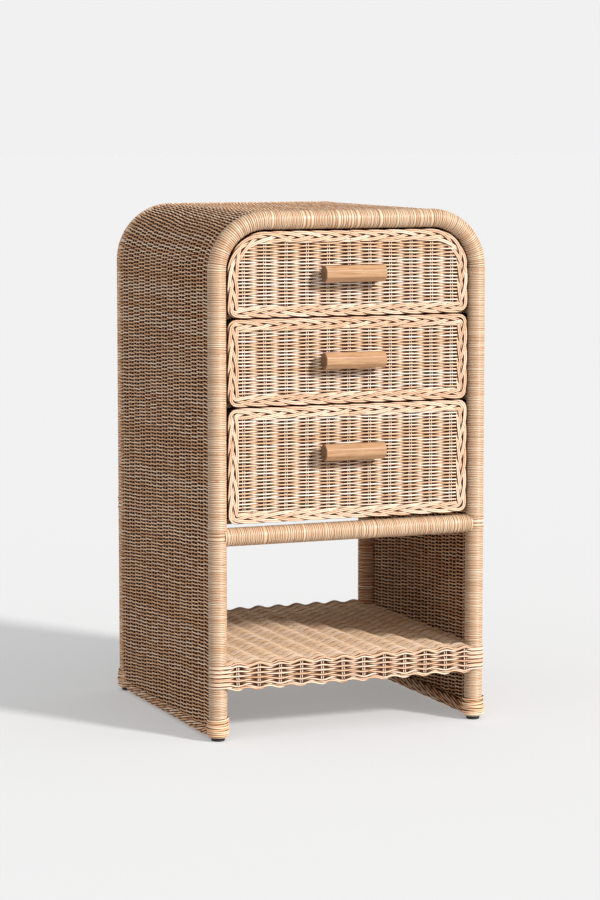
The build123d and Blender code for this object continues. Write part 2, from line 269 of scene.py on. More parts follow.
def strand_piece(name, strands, sides):
    """Round or flattened strands. Each is (line, outward, half width, half depth, tone, swing),
    and swing is how far it stands out of the weave: 1 in front of a stake, -1 behind it.
    A strand's sides, and its face where swing is below nought, carry painted shade."""
    verts, quads, uvs, tones, grain, painted_shade = [], [], [], [], [], []
    caps, cap_uvs, cap_tones = [], [], []
    angles = TURN * (np.arange(sides) + 0.5) / sides
    cosines, sines = np.cos(angles), np.sin(angles)
    lengths = [float(np.linalg.norm(np.diff(s[0], axis=0), axis=1).sum()) for s in strands]
    girth = TURN * float(np.mean([np.mean(s[2]) for s in strands]))
    columns = max(1, round(math.sqrt(len(strands) * girth / max(np.mean(lengths), 1))))
    rows = math.ceil(len(strands) / columns)
    base = 0
    ring = np.arange(sides)
    around = np.concatenate([ring, [0]])
    for number, (line, outward, width, depth, tone, swing) in enumerate(strands):
        count = len(line)
        tangent = np.gradient(line, axis=0)
        tangent /= np.linalg.norm(tangent, axis=1, keepdims=True) + 1e-9
        across = np.cross(tangent, outward)
        across /= np.linalg.norm(across, axis=1, keepdims=True) + 1e-9
        out = np.cross(across, tangent)
        width = np.broadcast_to(width, count)[:, None, None]
        depth = np.broadcast_to(depth, count)[:, None, None]
        points = (
            line[:, None]
            + across[:, None] * cosines[None, :, None] * width
            + out[:, None] * sines[None, :, None] * depth
        )
        verts.append(points.reshape(-1, 3))
        steps = np.concatenate([[0], np.cumsum(np.linalg.norm(np.diff(line, axis=0), axis=1))])
        # A strand's tone also picks the part of the grain it was cut from
        run = np.repeat(steps + 700 * tone, sides)
        shift = 40 * tone
        grain.append(xyz(run, np.tile(cosines, count) + shift, np.tile(sines, count)))
        # Painted shade: darker down each strand's sides and on its face where it lies sunk in the weave
        sunk_shade = np.clip(-np.broadcast_to(swing, count)[:, None] * sines, 0, 1) ** 2
        painted_shade.append(np.clip(1 - np.abs(sines) + 0.9 * sunk_shade, 0, 1).ravel())
        first = base + np.arange(count - 1)[:, None] * sides + ring[None, :]
        beside = base + np.arange(count - 1)[:, None] * sides + around[None, 1:]
        quads.append(np.stack([first, first + sides, beside + sides, beside], -1).reshape(-1, 4))
        u0, v0 = (number % columns) / columns, (number // columns) / rows
        du, dv = CELL_FILL[0] / columns, CELL_FILL[1] / rows
        u = u0 + du * steps / max(steps[-1], 1e-6)
        v = v0 + dv * np.arange(sides + 1) / sides
        ua, ub = np.repeat(u[:-1], sides), np.repeat(u[1:], sides)
        va, vb = np.tile(v[:-1], count - 1), np.tile(v[1:], count - 1)
        uvs.append(quad_uvs(ua, ub, va, vb))
        tones.append(np.full((count - 1) * sides, tone))
        spot = np.stack([cosines, sines], -1) * 0.01 / max(columns, rows)
        for start, sign in ((base, 1), (base + (count - 1) * sides, -1)):
            caps.append((start + ring)[::sign])
            cap_uvs.append(spot[::sign] + (u0 + CAP_PLACE / columns, v0 + 0.5 / rows))
            cap_tones.append(tone)
        base += count * sides
    joined = [np.concatenate(part) for part in (verts, quads, uvs, tones, grain, painted_shade)]
    return make_piece(name, *joined, np.array(caps), np.array(cap_uvs), np.array(cap_tones))


def winding_piece(name, place, edges, raises, grooves):
    """Cane wound round a pole as one ridged skin. place(s) gives points, outward and sideways
    directions; edges are where the turns meet; raises and grooves are one number a turn."""
    turns = len(raises)
    shares = np.array([0.0, 0.16, 0.5, 0.84])
    falls = np.array([1.0, 0.3, 0.0, 0.3])
    widths = np.diff(edges)
    s = np.append((edges[:-1, None] + widths[:, None] * shares).ravel(), edges[-1])
    height = raises[:, None] - grooves[:, None] * falls
    height[1:, 0] = np.minimum(height[1:, 0], raises[:-1] - grooves[:-1])
    height = np.append(height.ravel(), raises[-1] - grooves[-1])
    angle = TURN * np.arange(AROUND_POLE + 1) / AROUND_POLE
    lean = rng.uniform(0, TURN, turns + 1)
    sway = 0.1 * np.minimum(np.append(widths, widths[-1]), 3.0)
    sway_s = np.interp(s, edges, sway)
    lean_s = lean[np.minimum(np.searchsorted(edges, s, side="right") - 1, turns)]
    slid = s[:, None] + sway_s[:, None] * np.sin(angle[None, :] + lean_s[:, None])
    slid[:, -1] = slid[:, 0]
    slid = np.clip(slid, edges[0], edges[-1])
    centre, out, side = place(slid)
    reach = tube + height[:, None, None]
    verts = centre + out * (np.cos(angle)[None, :, None] * reach) + side * (
        np.sin(angle)[None, :, None] * reach
    )
    rows, columns = len(s), AROUND_POLE + 1
    index = np.arange(rows * columns).reshape(rows, columns)
    quads = np.stack([index[:-1, :-1], index[:-1, 1:], index[1:, 1:], index[1:, :-1]], -1)
    tone = np.repeat(rng.random(turns), 4 * AROUND_POLE)
    phase = np.repeat(rng.uniform(0, 900, turns), 4)
    phase = np.append(phase, phase[-1])[:, None]
    grain = xyz(angle * tube + phase, s[:, None] * 0.8, phase)
    strips = max(1, round(math.sqrt((edges[-1] - edges[0]) / (TURN * tube))))
    per = math.ceil((rows - 1) / strips)
    row = np.arange(rows - 1)[:, None]
    u0, v0 = (row // per) / strips, row % per
    u = u0 + np.arange(AROUND_POLE + 1) / AROUND_POLE * STRIP_FILL / strips
    uvs = quad_uvs(u[:, :-1], u[:, 1:], v0 / per, (v0 + 1) / per)
    # Painted shade: darkest in the groove between turns, lighter up each turn's sides
    shade_share = np.append(np.tile([1.0, 0.35, 0.0, 0.35], turns), 1.0)
    painted_shade = np.broadcast_to(shade_share[:, None], (rows, columns))
    return make_piece(
        name, verts.reshape(-1, 3), quads.reshape(-1, 4), uvs, tone, grain.reshape(-1, 3), painted_shade
    )


# ---------- materials
def linear(code):
    """A colour written as sRGB hex, as linear light."""
    parts = [int(code[i : i + 2], 16) / 255 for i in (1, 3, 5)]
    return tuple(p / 12.92 if p <= 0.04045 else ((p + 0.055) / 1.055) ** 2.4 for p in parts) + (1.0,)


def add(tree, kind, inputs=None, stops=None, **settings):
    """Adds a node with its settings; an input is a value or the socket that feeds it."""
    made = tree.nodes.new(kind)
    for key, value in settings.items():
        setattr(made, key, value)
    for key, value in (inputs or {}).items():
        if isinstance(value, bpy.types.NodeSocket):
            tree.links.new(value, made.inputs[key])
        else:
            made.inputs[key].default_value = value
    if stops:
        ramp = made.color_ramp
        while len(ramp.elements) < len(stops):
            ramp.elements.new(0.5)
        for element, (place, colour) in zip(ramp.elements, stops):
            element.position = place
            element.color = linear(colour)
    return made


def fresh(name):
    material = bpy.data.materials.new(name)
    material.use_nodes = True
    tree = material.node_tree
    tree.nodes.clear()
    return material, tree


def finish_surface(tree, colour, roughness, bump, **values):
    """The shader, its fine relief and the output that every finish ends in."""
    shader = add(
        tree,
        "ShaderNodeBsdfPrincipled",
        {"Base Color": colour, "Roughness": roughness, "Normal": bump, **values},
    )
    add(tree, "ShaderNodeOutputMaterial", {"Surface": shader.outputs["BSDF"]})


def rattan(name, ramp, stain, stain_from, rough_low, rough_high, gloss, coat, shade_colour, shade_strength):
    """Rattan, straw coloured with honey streaks along the fibre and brown marks at its joints.
    Each strand has its own tone; streaks run about 35 mm along it and fibres are 0.4 mm apart.
    Down its sides and where it lies sunk, a strand turns to a dark brown: painted shade.
    Scraped core has open pores and little gloss; lacquer and hard skin have more."""
    material, tree = fresh(name)
    tone = add(tree, "ShaderNodeAttribute", attribute_name="tone").outputs["Fac"]
    grain = add(tree, "ShaderNodeAttribute", attribute_name="grain").outputs["Vector"]
    colour = add(tree, "ShaderNodeValToRGB", {"Fac": tone}, stops=ramp).outputs["Color"]
    shade_share = add(tree, "ShaderNodeAttribute", attribute_name="painted_shade").outputs["Fac"]
    # Streaks, joints and fibres, each with its frequency along a strand and in its section
    fields = []
    for stretch, detail, roughness in (
        ((0.028, 0.9, 0.9), 3.0, 0.6),
        ((0.11, 0.5, 0.5), 1.0, 0.4),
        ((0.16, 3.4, 3.4), 2.0, 0.5),
    ):
        place = add(tree, "ShaderNodeMapping", {"Vector": grain, "Scale": stretch}).outputs["Vector"]
        noise = {"Vector": place, "Scale": 1.0, "Detail": detail, "Roughness": roughness}
        fields.append(add(tree, "ShaderNodeTexNoise", noise).outputs["Fac"])
    streak, joint, fibre = fields
    # The last layer is painted shade, darkening a strand down its sides and where it lies sunk
    for field, start, full, most, easing, layer in (
        (streak, stain_from, 0.78, 0.85, "SMOOTHSTEP", stain),
        (joint, 0.68, 0.8, 0.7, "SMOOTHSTEP", "#8A5226"),
        (shade_share, 0.06, 0.62, shade_strength, "LINEAR", shade_colour),
    ):
        share = add(
            tree,
            "ShaderNodeMapRange",
            {"Value": field, "From Min": start, "From Max": full, "To Min": 0.0, "To Max": most},
            interpolation_type=easing,
        ).outputs["Result"]
        layers = {"Factor": share, "A": colour, "B": linear(layer)}
        colour = add(tree, "ShaderNodeMix", layers, data_type="RGBA").outputs[2]
    rough = add(
        tree,
        "ShaderNodeMapRange",
        {"Value": fibre, "From Min": 0.3, "From Max": 0.7, "To Min": rough_low, "To Max": rough_high},
    ).outputs["Result"]
    relief = add(
        tree, "ShaderNodeBump", {"Strength": 0.35, "Distance": 0.0002, "Height": fibre}
    ).outputs["Normal"]
    shine = {"IOR": 1.5, "Specular IOR Level": gloss, "Coat Weight": coat, "Coat Roughness": 0.35}
    finish_surface(tree, colour, rough, relief, **shine)
    return material


def timber(name, pale, dark, along, ring, rough, ends=0.75):
    """Sawn or planed wood. Its growth rings, ring of them to a metre, are drawn out along one axis.
    Its cut ends soak up more finish, so they are darker: by the share called ends. Where that share is
    low, the darkening is also painted shade on the end faces."""
    material, tree = fresh(name)
    place = add(tree, "ShaderNodeTexCoord").outputs["Object"]
    squeeze = [ring, ring, ring]
    squeeze["xyz".index(along)] = ring * 0.06
    drawn = add(tree, "ShaderNodeMapping", {"Vector": place, "Scale": squeeze}).outputs["Vector"]
    rings = add(
        tree,
        "ShaderNodeTexNoise",
        {"Vector": drawn, "Scale": 1.0, "Detail": 4.0, "Roughness": 0.6, "Distortion": 0.8},
    ).outputs["Fac"]
    colour = add(
        tree, "ShaderNodeValToRGB", {"Fac": rings}, stops=[(0.32, dark), (0.66, pale)]
    ).outputs["Color"]
    thin = [ring * 9, ring * 9, ring * 9]
    thin["xyz".index(along)] = ring * 0.3
    pores = add(tree, "ShaderNodeMapping", {"Vector": place, "Scale": thin}).outputs["Vector"]
    pore = add(
        tree, "ShaderNodeTexNoise", {"Vector": pores, "Scale": 1.0, "Detail": 2.0}
    ).outputs["Fac"]
    shade = add(
        tree,
        "ShaderNodeMapRange",
        {"Value": pore, "From Min": 0.35, "From Max": 0.65, "To Min": 0.86, "To Max": 1.04},
    ).outputs["Result"]
    facing = add(tree, "ShaderNodeNewGeometry").outputs["Normal"]
    grain_way = tuple(1.0 if axis == along else 0.0 for axis in "xyz")
    cut = add(
        tree, "ShaderNodeVectorMath", {0: facing, 1: grain_way}, operation="DOT_PRODUCT"
    ).outputs["Value"]
    on_end = add(tree, "ShaderNodeMath", {0: cut}, operation="ABSOLUTE").outputs["Value"]
    end_soak_and_shade = add(
        tree,
        "ShaderNodeMapRange",
        {"Value": on_end, "From Min": 0.6, "From Max": 0.9, "To Min": 1.0, "To Max": ends},
    ).outputs["Result"]
    deepened = add(tree, "ShaderNodeMath", {0: shade, 1: end_soak_and_shade}, operation="MULTIPLY")
    toned = add(
        tree,
        "ShaderNodeVectorMath",
        {0: colour, "Scale": deepened.outputs["Value"]},
        operation="SCALE",
    ).outputs["Vector"]
    relief = add(
        tree, "ShaderNodeBump", {"Strength": 0.25, "Distance": 0.0002, "Height": pore}
    ).outputs["Normal"]
    roughness = add(
        tree,
        "ShaderNodeMapRange",
        {"Value": pore, "From Min": 0.3, "From Max": 0.7, "To Min": rough + 0.1, "To Max": rough},
    ).outputs["Result"]
    finish_surface(tree, toned, roughness, relief, IOR=1.5)
    return material


def moulded(name, colour, worn, grit, rough, metallic=0.0):
    """A moulded or plated surface: an even colour, whose gloss a grit of this many mm breaks up."""
    material, tree = fresh(name)
    place = add(tree, "ShaderNodeTexCoord").outputs["Object"]
    speck = add(
        tree,
        "ShaderNodeTexNoise",
        {"Vector": place, "Scale": 1000 / grit, "Detail": 3.0, "Roughness": 0.6},
    ).outputs["Fac"]
    tint = add(
        tree, "ShaderNodeValToRGB", {"Fac": speck}, stops=[(0.3, colour), (0.75, worn)]
    ).outputs["Color"]
    roughness = add(
        tree,
        "ShaderNodeMapRange",
        {"Value": speck, "From Min": 0.3, "From Max": 0.7, "To Min": rough, "To Max": rough + 0.15},
    ).outputs["Result"]
    relief = add(
        tree, "ShaderNodeBump", {"Strength": 0.2, "Distance": 0.0001, "Height": speck}
    ).outputs["Normal"]
    finish_surface(tree, tint, roughness, relief, Metallic=metallic)
    return material


# After each ramp: the stain and where it starts, the roughness of smooth and of coarse fibres,
# the gloss, the coat, the colour of the painted shade between strands and its strength

# Round rattan core on the sides, top, back and feet: straw to honey, matt where it was scraped
weave_rattan = rattan(
    "round_rattan_core",
    [(0.0, "#D8A478"), (0.45, "#EABE98"), (1.0, "#F8DABC")],
    "#B0724A", 0.5, 0.5, 0.7, 0.1, 0.0, "#3C1202", 0.97,
)
# The same core picked paler for the drawer fronts, with a light lacquer that glints
front_rattan = rattan(
    "picked_rattan_core_lacquered",
    [(0.0, "#DAB48C"), (0.5, "#E9CFB2"), (1.0, "#F5E4D2")],
    "#C48A54", 0.55, 0.34, 0.48, 0.3, 0.2, "#6E2E06", 0.97,
)
# Core bent sharply in the drawers' plaits and the shelf's band: honeyed by handling, half matt
plait_rattan = rattan(
    "bent_rattan_core",
    [(0.0, "#CBA483"), (0.5, "#DDBDA0"), (1.0, "#EED7C1")],
    "#AE6E3A", 0.52, 0.38, 0.54, 0.2, 0.12, "#5A2404", 0.97,
)
# Cane peel wound on the poles: its hard skin is smoother and shinier than the core
peel_rattan = rattan(
    "wound_cane_peel",
    [(0.0, "#BC9E7E"), (0.5, "#C8B094"), (1.0, "#D2BDA2")],
    "#B57C46", 0.54, 0.36, 0.52, 0.5, 0.18, "#8A5526", 0.95,
)
# A sheet of painted shade inside a weave, so its gaps read dark: dull dark brown
shade_sheet_finish = rattan(
    "rattan_painted_shade_sheet",
    [(0.0, "#2A1206"), (0.5, "#321808"), (1.0, "#3E200E")],
    "#1E0D05", 0.5, 0.75, 0.9, 0.05, 0.0, "#241006", 0.6,
)
# Flattened rattan splint on the shelf: pale honey, worn matt, with its painted shade in soft brown
shelf_rattan = rattan(
    "close_rattan_splint",
    [(0.0, "#E8C8A0"), (0.5, "#F2D8B8"), (1.0, "#F8E6D2")],
    "#BC8048", 0.54, 0.5, 0.7, 0.05, 0.0, "#6A300C", 0.85,
)
# Rattan pole left round under its winding, with its skin on
pole_rattan = timber("rattan_pole_skin", "#D8B588", "#B58A5A", "z", 260, 0.42)
# The same pole painted dark as shade where the foot border hides it
shade_dark_pole = timber("rattan_pole_painted_shade", "#3A2010", "#241208", "y", 260, 0.6)
# Planed pine: soft broad rings, pale yellow, dry
pine = timber("planed_pine", "#DDBE8D", "#BC915C", "y", 150, 0.6)
# Plywood drawer boxes: wide rotary-cut figure
plywood = timber("rotary_cut_plywood", "#D9BE94", "#C09C6A", "y", 60, 0.6)
# The same plywood painted near black where it backs the open weave: painted shade, so the gaps read dark
shade_dark_plywood = timber("plywood_painted_shade_dark", "#2E170A", "#1A0C05", "x", 60, 0.75)
# Oiled ash pulls: tan, close grain along the pull, a soft sheen, darker on the end grain from soaked-up
# oil and from painted shade
oiled_ash = timber("oiled_ash", "#B38C67", "#976A43", "x", 420, 0.42, ends=0.4)
# Polypropylene glides: near black with a moulded matt skin
polypropylene = moulded("black_polypropylene", "#040405", "#0B0B0D", 0.5, 0.5)
# Zinc-plated steel screws: grey metal with a cloudy plating
zinc = moulded("zinc_plated_steel", "#9A9C9E", "#B9BBBD", 0.4, 0.3, 1.0)


def dress(piece, body, slot, material, *nodes):
    """Gives a made piece its finish, hangs it on the body it rides on and hides the frame nodes it
    stands for.
    """
    piece.data.materials.append(material)
    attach(piece, body)
    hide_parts(*nodes)


# ---------- woven panels
def drift(s, t):
    """Slow wander of the rows, as beaten down by hand."""
    return 1.1 * np.sin(TURN * (s / 190 + t / 310)) + 0.6 * np.sin(TURN * (s / 83 - t / 140))


def wave(t, first, pitch, sign):
    """In and out of the stakes, plus one outside a stake and minus one behind it."""
    swing = np.cos(math.pi * (t - first) / pitch)
    return sign * swing * (1.25 - 0.25 * swing**2)


def knots(start, end, first, pitch, parts):
    """Points along a weaver, evenly placed between stakes, from start to end."""
    step = pitch / parts
    inner = first + step * np.arange(
        math.ceil((start - first) / step + 0.2), math.floor((end - first) / step - 0.2) + 1
    )
    return np.concatenate([[start], inner, [end]])


def jitter(t, size):
    a, b = rng.uniform(0, TURN, 2)
    return size * (np.sin(t / 19 + a) + 0.6 * np.sin(t / 7.3 + b))


shell_length = arch_length(*PANEL_ARCH)
shell_rows = round(shell_length / ROW_PITCH)
row_pitch = shell_length / shell_rows
leg = bend_z - panel_foot
shell_first = middle_y - SIDE_STAKE_SHIFT
shell_lines = {"left": [], "top": [], "right": []}


def shell_part(s):
    if s < leg:
        return "left"
    return "right" if s > shell_length - leg else "top"


for row in range(shell_rows):
    s = (row + 0.5) * row_pitch
    t = knots(front_y, rear_y, shell_first, SIDE_STAKE_PITCH, 4)
    swing = wave(t, shell_first, SIDE_STAKE_PITCH, 1 if row % 2 else -1)
    at_front = np.clip((front_y + SLANT_RUN - t) / SLANT_RUN, 0, 1) ** 2
    at_rear = np.clip((t - rear_y + SLANT_RUN) / SLANT_RUN, 0, 1) ** 2
    toward = -1 if s < shell_length / 2 else 1
    placed = s + drift(s, t) + jitter(t, UNEVEN) + SLANT * toward * (at_front - at_rear)
    placed = np.clip(placed, 1.0, shell_length - 1.0)
    x, z, nx, nz = arch_at(placed, *PANEL_ARCH)
    lift = WEAVE_LIFT * swing
    line = xyz(x + nx * lift, t, z + nz * lift)
    thick = WEAVER * rng.uniform(*THICKNESS_SPREAD)
    shell_lines[shell_part(s)].append((line, xyz(nx, 0.0, nz), thick, thick, rng.random(), swing))

stake_s = np.concatenate([np.arange(0, shell_length, 12.0), [shell_length]])
for column in range(-SIDE_STAKES_EACH_WAY, SIDE_STAKES_EACH_WAY + 1):
    y = shell_first + column * SIDE_STAKE_PITCH
    tone = rng.random()
    for part, low, high in (
        ("left", 0, leg),
        ("top", leg, shell_length - leg),
        ("right", shell_length - leg, shell_length),
    ):
        s = np.concatenate([[low], stake_s[(stake_s > low + 1) & (stake_s < high - 1)], [high]])
        x, z, nx, nz = arch_at(s, *PANEL_ARCH)
        shell_lines[part].append((xyz(x, y, z), xyz(nx, 0.0, nz), STAKE, STAKE, tone, 0.0))

for part, node in (("left", "woven_left_side"), ("top", "woven_top"), ("right", "woven_right_side")):
    piece = strand_piece(f"{part}_weave", shell_lines[part], 6)
    dress(piece, "case", "rattan_weave", weave_rattan, node)


def lay_shade_sheet(name, line, outward, half_width, node):
    """A thin sheet along a line between a weave's two faces, painted dark as shade so the gaps read
    dark.
    It is a strand of four sides, so its corners lie further out than its faces."""
    corner = math.sqrt(2)
    tone = 0.3
    sheet = (line, outward, half_width * corner, SHADE_SHEET * corner, tone, 0.0)
    dress(strand_piece(name, [sheet], 4), "case", "rattan_weave", shade_sheet_finish, node)


x, z, nx, nz = arch_at(stake_s, *PANEL_ARCH)
short_of_poles = (rear_y - front_y) / 2 - 4
lay_shade_sheet("shell_shade_sheet", xyz(x, middle_y, z), xyz(nx, 0.0, nz), short_of_poles, "woven_top")

# The back is woven in its own frame, between the rear posts, from the rail up
back_y = box("woven_back")[1][1] - (WEAVE_LIFT + WEAVER)
back_lines = []
back_count = round((arch_top - rail_z) / ROW_PITCH)
for row in range(back_count):
    z = rail_z + 4 + row * (arch_top - rail_z - 6) / back_count
    reach = post_x if z < bend_z else post_x - bend_radius + math.sqrt(
        max(bend_radius**2 - (z - bend_z) ** 2, 0)
    )
    t = knots(-reach, reach, BACK_STAKE_PITCH / 2, BACK_STAKE_PITCH, 5)
    swing = wave(t, BACK_STAKE_PITCH / 2, BACK_STAKE_PITCH, 1 if row % 2 else -1)
    line = xyz(t, back_y + WEAVE_LIFT * swing, z + drift(z, t) * 0.6 + jitter(t, UNEVEN))
    thick = WEAVER * rng.uniform(*THICKNESS_SPREAD)
    back_lines.append((line, BACK, thick, thick, rng.random(), swing))
for column in range(BACK_STAKES):
    x = (column - (BACK_STAKES - 1) / 2) * BACK_STAKE_PITCH
    crown = arch_top if abs(x) < post_x - bend_radius else bend_z + math.sqrt(
        bend_radius**2 - (abs(x) - post_x + bend_radius) ** 2
    )
    z = np.linspace(rail_z, crown, 12)
    back_lines.append((xyz(x, back_y, z), BACK, STAKE, STAKE, rng.random(), 0.0))
piece = strand_piece("back_weave", back_lines, 6)
dress(piece, "case", "rattan_weave", weave_rattan, "woven_back")

z = np.concatenate([[rail_z], np.linspace(bend_z, arch_top - 2, 14)])
over = np.clip(z - bend_z, 0, None)
reach = post_x - bend_radius + np.sqrt(np.clip(bend_radius**2 - over**2, 0, None))
lay_shade_sheet("back_shade_sheet", xyz(0.0, back_y, z), BACK, reach, "woven_back")


# ---------- windings on the poles
def turn_edges(spans):
    """Edges, raises and groove depths of the turns along spans, each of which is
    (length, width of a turn, share of wide turns, raise). Now and then a groove gapes."""
    edges, raises, grooves = [0.0], [], []
    at = 0.0
    for length, turn, wide_share, lift in spans:
        end = at + length
        while at < end - 0.5:
            wide = rng.random() < wide_share
            width = rng.uniform(4.5, 7.5) if wide else turn * rng.uniform(0.85, 1.12)
            if end - at - width < 1.2:
                width = end - at
            at += width
            edges.append(at)
            raises.append(lift + rng.uniform(-0.12, 0.0))
            gap = 1.7 if rng.random() < 0.07 else 1.0
            grooves.append(gap * (0.45 if wide else turn * rng.uniform(0.26, 0.38)))
    return np.array(edges), np.array(raises), np.array(grooves)


def arch_winding(name, y, finish, wrap_node):
    def place(s):
        x, z, nx, nz = arch_at(s, *POLE_ARCH)
        return xyz(x, y, z), xyz(nx, 0.0, nz), BACK

    few_wide, many_wide = 0.01, 0.16
    binding = BAND_Z[1] - BAND_Z[0] - 2 * LASHING
    up = (BAND_Z[0] - pole_foot, TURN_WIDTH, few_wide, 0.0)
    lash = (LASHING, LASHING, 0.0, LASHING_RAISE)
    band = (lash, (binding, BINDING_TURN, 0.0, BINDING_RAISE), lash)
    above = (bend_z - BAND_Z[1], TURN_WIDTH, few_wide, 0.0)
    bend = (math.pi * bend_radius / 2, BEND_TURN * TURN_WIDTH, 0.0, 0.0)
    across = (2 * (post_x - bend_radius), TURN_WIDTH, many_wide, 0.0)
    spans = (up, *band, above, bend, across, bend, above, *band, up)
    edges, raises, grooves = turn_edges(spans)
    edges *= arch_length(*POLE_ARCH) / edges[-1]
    piece = winding_piece(name, place, edges, raises, grooves)
    dress(piece, "case", "cane_wrap", finish, wrap_node)


arch_winding("front_arch_winding", front_y, peel_rattan, "front_arch_wrap")
# The side weavers turn round the rear pole, so it has their colour
arch_winding("rear_arch_winding", rear_y, weave_rattan, "rear_arch_wrap")


def rail_winding(name, y, wrap_node):
    reach = post_x - tube * 0.55

    def place(s):
        return xyz(s - reach, y, rail_z), UP, BACK

    some_wide = 0.05
    edges, raises, grooves = turn_edges([(2 * reach, RAIL_TURN * TURN_WIDTH, some_wide, 0.0)])
    piece = winding_piece(name, place, edges, raises, grooves)
    dress(piece, "case", "cane_wrap", peel_rattan, wrap_node)


rail_winding("front_rail_winding", front_y, "front_rail_wrap")
rail_winding("rear_rail_winding", rear_y, "rear_rail_wrap")


# ---------- drawer fronts
def plait_loop(half, bottom, top, top_radius):
    """A closed loop in the front view, anticlockwise from the middle of its top edge."""
    low_z = bottom + PLAIT_CORNER
    corners = (
        (-half + top_radius, top - top_radius, top_radius, 90),
        (-half + PLAIT_CORNER, low_z, PLAIT_CORNER, 180),
        (half - PLAIT_CORNER, low_z, PLAIT_CORNER, 270),
        (half - top_radius, top - top_radius, top_radius, 0),
    )
    points = [(0.0, top)]
    for cx, cz, radius, start in corners:
        for angle in np.radians(np.linspace(start, start + 90, 10)):
            points.append((cx + radius * math.cos(angle), cz + radius * math.sin(angle)))
    points.append((0.0, top))
    points = np.array(points)
    along = np.concatenate([[0], np.cumsum(np.linalg.norm(np.diff(points, axis=0), axis=1))])
    count = round(along[-1] / PLAIT_STEP)
    s = np.linspace(0, along[-1], count + 1)
    x, z = np.interp(s, along, points[:, 0]), np.interp(s, along, points[:, 1])
    dx, dz = np.gradient(x), np.gradient(z)
    for _ in range(3):
        dx[1:-1] = (dx[:-2] + dx[1:-1] + dx[2:]) / 3
        dz[1:-1] = (dz[:-2] + dz[1:-1] + dz[2:]) / 3
    size = np.hypot(dx, dz)
    return s, x, z, dz / size, -dx / size


def plait_strands(loop, y, across):
    """Strands of two rods each, plaited flat round a loop. A strand lies on top on its way out
    from the middle, runs along the edge and dives under on its way back. Behind them all is a
    flat core, which shows as the dark between them."""
    s, x, z, nx, nz = loop
    periods = round(s[-1] / PLAIT_PERIOD)
    strands = []
    for strand in range(PLAIT_STRANDS):
        phase = TURN * (periods * s / s[-1] + strand / PLAIT_STRANDS)
        swing = np.tanh(PLAIT_SQUARE * np.sin(phase)) / math.tanh(PLAIT_SQUARE)
        rise = np.sin(2 * phase)
        tone = rng.random()
        for rod_side in (-1, 1):
            shift = across * swing + rod_side * PLAIT_ROD * PLAIT_CLOSE
            # Where a strand dives under, painted shade darkens it
            line = xyz(x - nx * shift, y - PLAIT_RISE * rise, z - nz * shift)
            rod_tone = 0.85 * tone + 0.15 * rng.random()
            strands.append((line, FRONT, PLAIT_ROD, PLAIT_ROD * 0.9, rod_tone, rise))
    # The core's face is painted dark as shade, so the gaps between strands read dark
    core = xyz(x, y + 2.2, z)
    strands.append((core, FRONT, across + 1.4, 1.0, 0.0, -1.0))
    return strands


def front_reach(z, half, top, radius):
    """Half the width of a drawer's field at height z, under its rounded upper corners."""
    if z < top - radius:
        return half
    return half - radius + math.sqrt(max(radius**2 - (z - top + radius) ** 2, 0))


for drawer in DRAWERS:
    low, high = box(f"{drawer}_woven_front")
    edge_low, edge_high = box(f"{drawer}_plaited_border")
    plait = low[2] - edge_low[2]
    outer_radius = FRONT_CORNER
    if drawer == "top_drawer":
        outer_radius = bend_radius - tube - (post_x - tube - edge_high[0])
    half = high[0] + TUCK
    floor_z, crown = low[2] - LOW_TUCK, high[2] + LOW_TUCK
    field_radius = max(outer_radius - plait + TUCK, 1.0)
    field_y = low[1] + WEAVE_LIFT + WEAVER
    count = round((crown - floor_z) / DRAWER_PITCH)
    lines = []
    stakes = (np.arange(DRAWER_STAKES) - (DRAWER_STAKES - 1) / 2) * DRAWER_STAKE_PITCH
    for row in range(count):
        z = floor_z + (row + 0.5) * (crown - floor_z) / count
        reach = front_reach(z, half, crown, field_radius)
        t = knots(-reach, reach, 0.0, DRAWER_STAKE_PITCH, 8)
        swing = wave(t, 0.0, DRAWER_STAKE_PITCH, 1 if row % 2 else -1)
        wander = 0.5 * np.sin(t / 37 + z / 21) + jitter(t, 0.09)
        line = xyz(t, field_y - DRAWER_LIFT * swing, z + wander)
        thick = DRAWER_WEAVER * rng.uniform(0.92, 1.03)
        lines.append((line, FRONT, thick, thick, rng.random(), swing))
    for x in stakes:
        crown_x = crown
        spare = abs(x) - (half - field_radius)
        if spare > 0:
            crown_x = crown - field_radius + math.sqrt(max(field_radius**2 - spare**2, 0))
        z = np.linspace(floor_z, crown_x, 14)
        for side in (-1, 1):
            line = xyz(x + side * DRAWER_PAIR + 0.35 * np.sin(z / 17 + x), field_y - 0.3, z)
            pale = 0.75 + 0.25 * rng.random()
            lines.append((line, FRONT, DRAWER_STAKE, DRAWER_STAKE, pale, 0.0))
    piece = strand_piece(f"{drawer}_weave", lines, 6)
    dress(piece, drawer, "rattan_weave", front_rattan, f"{drawer}_woven_front")

    centre = plait / 2
    top_radius = max(outer_radius - centre, PLAIT_CORNER)
    loop = plait_loop(
        edge_high[0] - centre, edge_low[2] + centre, edge_high[2] - centre, top_radius
    )
    swing = centre + PLAIT_OVERHANG - (1 + PLAIT_CLOSE) * PLAIT_ROD
    plaits = plait_strands(loop, edge_low[1] + PLAIT_SUNK, swing)
    piece = strand_piece(f"{drawer}_plait", plaits, 8)
    dress(piece, drawer, "rattan_plait", plait_rattan, f"{drawer}_plaited_border")


# ---------- shelf
shelf_low, shelf_high = box("shelf_weave")
shelf_z = (shelf_low[2] + shelf_high[2]) / 2
shelf_half = (shelf_high[2] - shelf_low[2]) / 2
shelf_depth_half = (shelf_high[1] - shelf_low[1]) / 2 - SHELF_INSET
shelf_y = (shelf_low[1] + shelf_high[1]) / 2
shelf_lines = {"top": [], "band": [], "under": []}
shelf_first = 0.5 * SHELF_STAKE_PITCH + SHELF_STAKE_SHIFT
inner = shelf_depth_half - SHELF_SKIN - SHELF_EDGE


def ridges(t):
    """One over each pair of the shelf's stakes and minus one halfway between two pairs."""
    return np.cos(TURN * (t - shelf_first) / SHELF_STAKE_PITCH)


